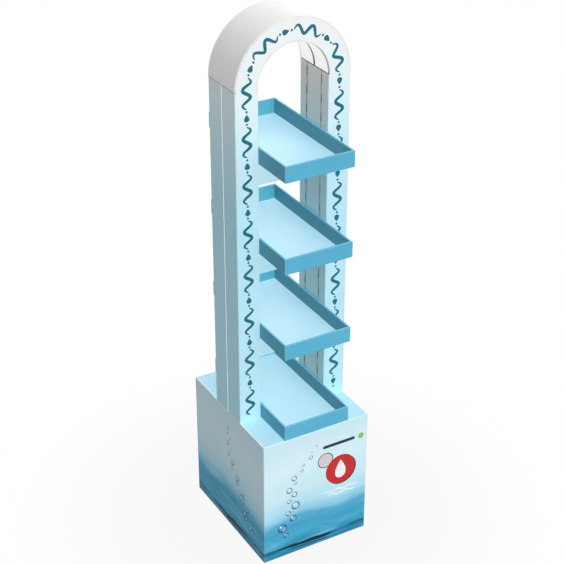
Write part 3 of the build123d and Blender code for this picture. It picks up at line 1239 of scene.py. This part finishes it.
class InkSheet:
    """Thin printed shapes gathered in one mesh and laid on a face of the stand."""

    proud = 0.08 * MM
    sunk = 0.05 * MM
    stroke_step = 1.3 * MM
    stroke_tip = 0.2
    drop_taper = 0.55
    drop_fill = 1.25

    def __init__(self, name: str, lay: Lay) -> None:
        """Start an empty sheet that is laid by the given function.

        Args:
            name: Name of the finished piece.
            lay: Gives the place on the stand of a point.
        """
        self.name = name
        self.lay = lay
        self.mesh = bmesh.new()
        self.local = self.mesh.loops.layers.uv.new("local")

    def _keep_local(self, verts: Iterable[bmesh.types.BMVert], size: float) -> None:
        """Note the place of each corner within its own shape, as its UV.

        Args:
            verts: Corners of one shape, about its own middle.
            size: What counts as 1.
        """
        for vert in verts:
            for loop in vert.link_loops:
                loop[self.local].uv = (vert.co.x / size, vert.co.y / size)

    def disc(self, centre: Point, radius: float, segments: int = 40) -> None:
        """Add a round disc.

        Args:
            centre: Its middle, along and up the face.
            radius: Its radius.
            segments: How many corners it has.
        """
        made = bmesh.ops.create_circle(self.mesh, cap_ends=True, segments=segments, radius=radius)
        self._keep_local(made["verts"], radius)
        bmesh.ops.translate(self.mesh, verts=made["verts"], vec=(*centre, 0))

    def ring(self, centre: Point, radius: float, width: float, segments: int = 48) -> None:
        """Add a flat ring, measured to its outer edge.

        Args:
            centre: Its middle, along and up the face.
            radius: Its outer radius.
            width: Its width.
            segments: How many corners it has.
        """
        made = bmesh.ops.create_circle(self.mesh, segments=segments, radius=radius)
        rim = [edge for edge in self.mesh.edges if edge.is_wire]
        inner = bmesh.ops.extrude_edge_only(self.mesh, edges=rim)["geom"]
        verts = [item for item in inner if isinstance(item, bmesh.types.BMVert)]
        shrink = 1 - width / radius
        bmesh.ops.scale(self.mesh, verts=verts, vec=(shrink, shrink, 1))
        bmesh.ops.translate(self.mesh, verts=[*made["verts"], *verts], vec=(*centre, 0))

    def bar(self, centre: Point, length: float, height: float) -> None:
        """Add a bar with round ends.

        Args:
            centre: Its middle, along and up the face.
            length: Its whole length.
            height: Its height.
        """
        made = bmesh.ops.create_circle(self.mesh, cap_ends=True, segments=32, radius=0.5 * height)
        reach = 0.5 * (length - height)
        for vert in made["verts"]:
            if abs(vert.co.x) > 1e-9:
                vert.co.x += math.copysign(reach, vert.co.x)
        bmesh.ops.translate(self.mesh, verts=made["verts"], vec=(*centre, 0))

    def drop(self, centre: Point, length: float, width: float, turn: float = 0.0) -> None:
        """Add a drop with its tip towards +u, turned by an angle in radians.

        Args:
            centre: Its middle, along and up the face.
            length: Its whole length.
            width: Its greatest width.
            turn: How far it is turned, in radians.
        """
        made = bmesh.ops.create_circle(self.mesh, cap_ends=True, segments=40, radius=0.5)
        for vert in made["verts"]:
            taper = 0.5 + vert.co.x
            vert.co.y *= width * (1 - taper) ** self.drop_taper * self.drop_fill
            vert.co.x *= length
        bmesh.ops.rotate(self.mesh, verts=made["verts"], matrix=Matrix.Rotation(turn, 3, "Z"))
        bmesh.ops.translate(self.mesh, verts=made["verts"], vec=(*centre, 0))

    def wave(self, start: Point, length: float, swing: float, stroke: float, periods: float) -> None:
        """Add a wavy brush stroke along u, thin at both ends.

        Args:
            start: Where the stroke starts.
            length: How far it runs.
            swing: How far its middle strays to each side.
            stroke: Its width at the thickest place.
            periods: How many full waves it holds.
        """
        steps = round(length / self.stroke_step)
        made = bmesh.ops.create_grid(self.mesh, x_segments=steps, y_segments=1, size=0.5)
        for vert in made["verts"]:
            share = vert.co.x + 0.5
            phase = FULL_TURN * periods * share
            slope = FULL_TURN * periods * swing / length * math.cos(phase)
            body = (1 - self.stroke_tip) * math.sin(math.pi * share) ** 0.5
            half = stroke * (self.stroke_tip + body) * vert.co.y
            lean = math.hypot(1, slope)
            vert.co.x = start[0] + length * share - half * slope / lean
            vert.co.y = start[1] + swing * math.sin(phase) + half / lean

    def build(self, finish: BoardFinish, slot: str) -> None:
        """Give the shapes their thickness, lay them on the stand and dress them.

        Args:
            finish: The ink.
            slot: Not used.
        """
        raised = bmesh.ops.extrude_face_region(self.mesh, geom=list(self.mesh.faces))["geom"]
        tops = [item for item in raised if isinstance(item, bmesh.types.BMVert)]
        bmesh.ops.translate(self.mesh, verts=tops, vec=(0, 0, self.proud + self.sunk))
        for vert in self.mesh.verts:
            vert.co = self.lay(vert.co.x, vert.co.y, vert.co.z - self.sunk)
        bmesh.ops.recalc_face_normals(self.mesh, faces=list(self.mesh.faces))
        data = bpy.data.meshes.new(self.name)
        self.mesh.to_mesh(data)
        self.mesh.free()
        data.materials.append(finish.material())
        piece = bpy.data.objects.new(self.name, data)
        bpy.context.scene.collection.objects.link(piece)
        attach(piece, "root")


@dataclass
class Boards:
    """The folded boards of the stand, each dressed in its own finish."""

    sizes: StandSizes
    nodes: dict[str, bpy.types.Object]
    thin_pitch: float = 3.6 * MM
    thin_sink: float = 0.02

    def finishes(self) -> dict[str, BoardFinish]:
        """Set up the finish of each board.

        Returns:
            The finishes, by the first words of the boards' names.
        """
        sizes = self.sizes
        tray = {"flute_pitch": self.thin_pitch, "flute_sink": self.thin_sink, "roughness": 0.48}
        return {
            "base_box": BasePrint("base_print", sizes),
            "base_divider": KraftBoard("divider_kraft", sizes),
            "arch_front": ArchPrint("arch_print", sizes),
            "arch_rear": ArchPrint("arch_print_rear", sizes),
            "arch_mid_rib": RibBoard("rib_board", sizes),
            "arch_top_band": CrownBoard("band_white", sizes),
            "soffit": CrownBoard(
                "soffit_white", sizes, score_pitch=9 * MM, rim_shade=0.9, white=ink("FBF5F0")
            ),
            "left_post": PostPrint("post_print", sizes),
            "right_post": PostPrint("post_print_right", sizes),
            "tray": TrayPrint("tray_teal", sizes, **tray),
            "liner": TrayLiner("tray_floor", sizes, **tray),
        }

    def dress(self) -> None:
        """Put a material on every board."""
        materials = {start: finish.material() for start, finish in self.finishes().items()}
        for name, piece in self.nodes.items():
            start = "liner" if name.endswith("liner") else self._start(name, materials)
            piece.data.materials.clear()
            piece.data.materials.append(materials[start])
            log.info("dressed %s in %s", name, materials[start].name)

    @staticmethod
    def _start(name: str, materials: dict[str, bpy.types.Material]) -> str:
        """Find the finish whose name a board's name starts with."""
        return next(start for start in materials if name.startswith(start))


@dataclass
class ArchOrnament:
    """Waves and drops in teal ink along the middle line of the arch."""

    sizes: StandSizes
    lead: float = 24 * MM
    repeats: int = 18
    wave_share: float = 0.64
    periods: int = 2
    swing: float = 13 * MM
    stroke: float = 11 * MM
    drop: Point = (24 * MM, 19 * MM)
    dot_radius: float = 3.8 * MM
    dot_place: float = 0.36
    colour: Colour = ink("0F6E80")

    def build(self) -> None:
        """Print the ornament on the front and on the rear of the arch."""
        for side, front in (("front", True), ("rear", False)):
            line = ArchLine(self.sizes, front)
            sheet = InkSheet(f"ornament_{side}", line)
            pitch = (line.length - 2 * self.lead) / self.repeats
            for number in range(self.repeats):
                self._unit(sheet, self.lead + number * pitch, pitch)
            sheet.build(InkFinish(f"ornament_ink_{side}", self.sizes, colour=self.colour), "arch_print")
            log.info("printed the ornament on the %s of the arch", side)

    def _unit(self, sheet: InkSheet, start: float, pitch: float) -> None:
        """Add one wave, and a drop between two dots after it.

        Args:
            sheet: The sheet that is drawn on.
            start: Where the unit starts on the line.
            pitch: How long it is.
        """
        length = pitch * self.wave_share
        sheet.wave((start, 0), length, self.swing, self.stroke, self.periods)
        rest = pitch - length
        middle = start + pitch - 0.5 * rest
        sheet.drop((middle, 0), *self.drop)
        for side in (-1, 1):
            sheet.disc((middle + side * self.dot_place * rest, 0), self.dot_radius, 20)


@dataclass(frozen=True)
class BubbleTrail:
    """One trail of bubbles on a wall of the base: where it starts, and how it climbs."""

    name: str
    face: FlatFace
    start: Point
    drift: float
    climb: float
    sway: float
    count: int = 15
    largest: float = 15.5 * MM
    sway_turns: float = 1.15
    sway_start: float = 0.1
    unevenness: float = 0.35
    shrink: float = 0.72
    crowding: float = 0.85
    beat: float = 2.4
    offset: float = 40.0
    scatter: float = 3.1

    def build(self, sizes: StandSizes) -> None:
        """Print the trail.

        Args:
            sizes: Sizes of the stand.
        """
        sheet = InkSheet(f"bubbles_{self.name}", self.face)
        for number in range(self.count):
            share = number / (self.count - 1)
            lean = self.sway * math.sin(FULL_TURN * (self.sway_turns * share + self.sway_start))
            uneven = 1 + self.unevenness * math.sin(self.beat * number + self.drift * self.offset)
            radius = self.largest * (1 - self.shrink * share) * uneven
            aside = radius * math.cos(self.scatter * number)
            u = self.start[0] + self.drift * share + lean + aside
            v = self.start[1] + self.climb * share**self.crowding
            sheet.disc((u, v), radius)
        sheet.build(BubbleInk(f"bubble_ink_{self.name}", sizes), "base_print")
        log.info("printed %d bubbles on the %s wall", self.count, self.name)


@dataclass
class Emblem:
    """A round badge with a drop on the front of the base, and small shapes about it.

    They are a pale disc behind it, a bar and a dot above it, and wave crests below it.
    """

    sizes: StandSizes
    face: FlatFace
    centre: Point = (96 * MM, 285 * MM)
    radius: float = 58 * MM
    small_radius: float = 30 * MM
    outline: float = 3 * MM
    bar_size: Point = (125 * MM, 12 * MM)
    dot_radius: float = 11 * MM
    drop_size: Point = (74 * MM, 44 * MM)
    layer: float = 0.02 * MM
    crest_swing: float = 3.2 * MM
    crest_stroke: float = 4.2 * MM

    def _at(self, u: float, v: float) -> Point:
        """Place at so many millimetres right of and above the badge's middle."""
        return self.centre[0] + u * MM, self.centre[1] + v * MM

    def build(self) -> None:
        """Print each colour of the badge, from the lowest layer to the highest."""
        small, inside = self._at(-60, 56), self.small_radius - self.outline
        layers = {
            "shade": ("231C27", lambda sheet: sheet.disc(self._at(4, -4), self.radius, 64)),
            "pale": ("D9CDD3", lambda sheet: sheet.disc(small, inside, 48)),
            "outline": ("1B2A3C", lambda sheet: sheet.ring(small, self.small_radius, self.outline)),
            "bar": ("1B2A3C", lambda sheet: sheet.bar(self._at(-8, 110), *self.bar_size)),
            "green": ("8CC63F", lambda sheet: sheet.disc(self._at(78, 110), self.dot_radius, 32)),
            "red": ("C4262B", lambda sheet: sheet.disc(self.centre, self.radius, 64)),
            "white": ("F7F4F2", self._drop),
            "crests": ("FBFEFF", self._crests),
        }
        for height, (name, (code, draw)) in enumerate(layers.items()):
            sheet = InkSheet(f"badge_{name}", self.face)
            sheet.proud += self.layer * height
            draw(sheet)
            self._print(sheet, code)

    def _drop(self, sheet: InkSheet) -> None:
        """Add the upright drop in the middle of the badge."""
        sheet.drop(self._at(0, 2), *self.drop_size, math.pi / 2)

    def _crests(self, sheet: InkSheet) -> None:
        """Add two pale wave lines under the badge.

        Args:
            sheet: The sheet that is drawn on.
        """
        for row in range(2):
            start = self._at(-70 + 22 * row, -82 - 16 * row)
            length = (140 - 30 * row) * MM
            sheet.wave(start, length, self.crest_swing, self.crest_stroke, periods=3 - row)

    def _print(self, sheet: InkSheet, code: str) -> None:
        """Finish one colour."""
        sheet.build(InkFinish(f"{sheet.name}_ink", self.sizes, colour=ink(code)), "base_print")
        log.info("printed %s", sheet.name)


@dataclass(frozen=True)
class Lamp:
    """A large soft lamp, far off.

    Its tilt is measured from straight overhead and its turn from the front towards the right,
    both in degrees. A lamp that casts no shadow stands for light that is thrown back into
    the trays from all around.
    """

    name: str
    strength: float
    tilt: float
    turn: float
    casts_shadow: bool = True
    softness: float = 50.0
    only: tuple[str, ...] = ()

    def build(self, nodes: dict[str, bpy.types.Object]) -> None:
        """Hang the lamp, over all boards or only over the named ones.

        Args:
            nodes: The boards, by their names.
        """
        light = bpy.data.lights.new(self.name, "SUN")
        light.energy = self.strength * math.pi
        light.angle = math.radians(self.softness)
        light.use_shadow = self.casts_shadow
        lamp = bpy.data.objects.new(self.name, light)
        lamp.rotation_euler = (math.radians(self.tilt), 0.0, math.radians(self.turn))
        bpy.context.scene.collection.objects.link(lamp)
        if self.only:
            receivers = bpy.data.collections.new(f"{self.name}_receivers")
            for name in self.only:
                receivers.objects.link(nodes[name])
            lamp.light_linking.receiver_collection = receivers


SOFFIT = ("soffit_front", "soffit_rear")
BAND = ("arch_top_band",)
RIB = ("arch_mid_rib",)
STUDIO_LAMPS = (
    Lamp("key", strength=0.08, tilt=47, turn=22),
    Lamp("front_fill", strength=0.85, tilt=47, turn=22, casts_shadow=False),
    Lamp("left_fill", strength=0.12, tilt=82, turn=-90, casts_shadow=False),
    Lamp("rear_fill", strength=0.42, tilt=85, turn=153),
    Lamp("crown_from_left", strength=0.58, tilt=112, turn=-90, casts_shadow=False, only=SOFFIT),
    Lamp("crown_from_right", strength=0.58, tilt=112, turn=90, casts_shadow=False, only=SOFFIT),
    Lamp("band_from_left", strength=0.09, tilt=75, turn=-90, casts_shadow=False, only=BAND),
    Lamp("rib_from_left", strength=0.45, tilt=82, turn=-90, casts_shadow=False, only=RIB),
    Lamp("rib_from_right", strength=0.45, tilt=82, turn=90, casts_shadow=False, only=RIB),
)


@dataclass
class Studio:
    """Pale floor, soft light and the camera."""

    nodes: dict[str, bpy.types.Object]
    sky: float = 0.27
    floor_tone: float = 0.38
    floor_half: float = 6.0
    floor_drop: float = 0.5 * MM
    floor_glow: float = 0.9
    floor_fade: Span = (0.3, 1.1)
    camera_place: tuple[float, float, float] = (-2.03368, -3.54372, 3.21752)
    camera_turn: tuple[float, float, float] = (1.0579, -0.0004, -0.5224)
    lens: float = 91.9
    sensor: float = 36.0
    sight: Span = (0.05, 50.0)

    def _seen(self, shader: Shader) -> Sock:
        """1 for rays that show the backdrop itself: camera, glossy and transmission rays.

        Args:
            shader: The material's tree.

        Returns:
            The mask.
        """
        kinds = ("Camera", "Glossy", "Transmission")
        rays = [shader.node("ShaderNodeLightPath", output=f"Is {kind} Ray") for kind in kinds]
        return shader.either(*rays)

    def build(self) -> None:
        """Set up the whole studio."""
        self._world()
        self._floor()
        for lamp in STUDIO_LAMPS:
            lamp.build(self.nodes)
        self._camera()
        bpy.context.scene.view_settings.view_transform = "Standard"

    def _world(self) -> None:
        """White surroundings, which light the stand evenly."""
        world = bpy.data.worlds.new("studio")
        world.use_nodes = True
        bpy.context.scene.world = world
        shader = Shader(world.node_tree)
        strength = self.sky + self._seen(shader) * (1 - self.sky)
        white = (1.0, 1.0, 1.0, 1.0)
        light = shader.node("ShaderNodeBackground", inputs={"Color": white, "Strength": strength})
        shader.node("ShaderNodeOutputWorld", inputs={"Surface": light})

    def _floor(self) -> None:
        """Pale floor that fades in the white surroundings and keeps a soft shadow."""
        mesh = bmesh.new()
        below = Matrix.Translation((0, 0, -self.floor_drop))
        bmesh.ops.create_grid(mesh, x_segments=1, y_segments=1, size=self.floor_half, matrix=below)
        data = bpy.data.meshes.new("studio_floor")
        mesh.to_mesh(data)
        mesh.free()
        made = bpy.data.materials.new("floor_white")
        made.use_nodes = True
        shader = Shader(made.node_tree)
        x, y, _ = shader.place
        reach = shader.math("SQRT", x * x + y * y)
        matt = shader.node("ShaderNodeBsdfDiffuse", inputs={"Color": (*[self.floor_tone] * 3, 1.0)})
        glow = shader.node("ShaderNodeEmission", inputs={"Strength": 1.0})
        far = shader.step(reach, *self.floor_fade) * (1 - self.floor_glow)
        share = self._seen(shader) * (self.floor_glow + far)
        surface = shader.node("ShaderNodeMixShader", inputs={0: share, 1: matt, 2: glow})
        shader.node("ShaderNodeOutputMaterial", inputs={"Surface": surface})
        data.materials.append(made)
        floor = bpy.data.objects.new("studio_floor", data)
        bpy.context.scene.collection.objects.link(floor)

    def _camera(self) -> None:
        """Camera at the height and distance from which the stand was seen."""
        lens = bpy.data.cameras.new("camera")
        lens.lens = self.lens
        lens.sensor_width = self.sensor
        lens.clip_start, lens.clip_end = self.sight
        camera = bpy.data.objects.new("camera", lens)
        camera.location = self.camera_place
        camera.rotation_euler = self.camera_turn
        bpy.context.scene.collection.objects.link(camera)
        bpy.context.scene.camera = camera


class Wall(Enum):
    """The four walls of the base, each with the way it faces."""

    FRONT = (0, -1)
    RIGHT = (1, 0)
    REAR = (0, 1)
    LEFT = (-1, 0)

    def face(self, sizes: StandSizes) -> FlatFace:
        """The wall's face, with u to the right of someone who looks at it.

        Args:
            sizes: Sizes of the stand.

        Returns:
            The face.
        """
        outward = Vector((*self.value, 0))
        reach = sizes.half_width if self.value[0] else sizes.half_depth
        return FlatFace(outward * reach, Vector((-self.value[1], self.value[0], 0)), outward)


def bubble_trails(sizes: StandSizes) -> list[BubbleTrail]:
    """The trails of bubbles on the base.

    Args:
        sizes: Sizes of the stand.

    Returns:
        One trail for each wall.
    """
    front, left, right, rear = (
        wall.face(sizes) for wall in (Wall.FRONT, Wall.LEFT, Wall.RIGHT, Wall.REAR)
    )
    return [
        BubbleTrail("front", front, (-0.135, 0.085), drift=0.115, climb=0.330, sway=0.016),
        BubbleTrail("left", left, (0.120, 0.075), drift=-0.150, climb=0.330, sway=0.020),
        BubbleTrail("right", right, (-0.130, 0.080), drift=0.170, climb=0.320, sway=0.020),
        BubbleTrail("rear", rear, (-0.090, 0.075), drift=0.150, climb=0.330, sway=0.020, count=17),
    ]


def main() -> None:
    """Load the stand, dress its boards, print its motifs and set up the studio."""
    logging.basicConfig(level=logging.INFO, format="%(name)s: %(message)s")
    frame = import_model()
    sizes = StandSizes.from_frame()
    log.info("sizes %s", sizes)
    Boards(sizes, frame["nodes"]).dress()
    ArchOrnament(sizes).build()
    for trail in bubble_trails(sizes):
        trail.build(sizes)
    Emblem(sizes, Wall.FRONT.face(sizes)).build()
    Studio(frame["nodes"]).build()


if __name__ == "__main__":
    main()
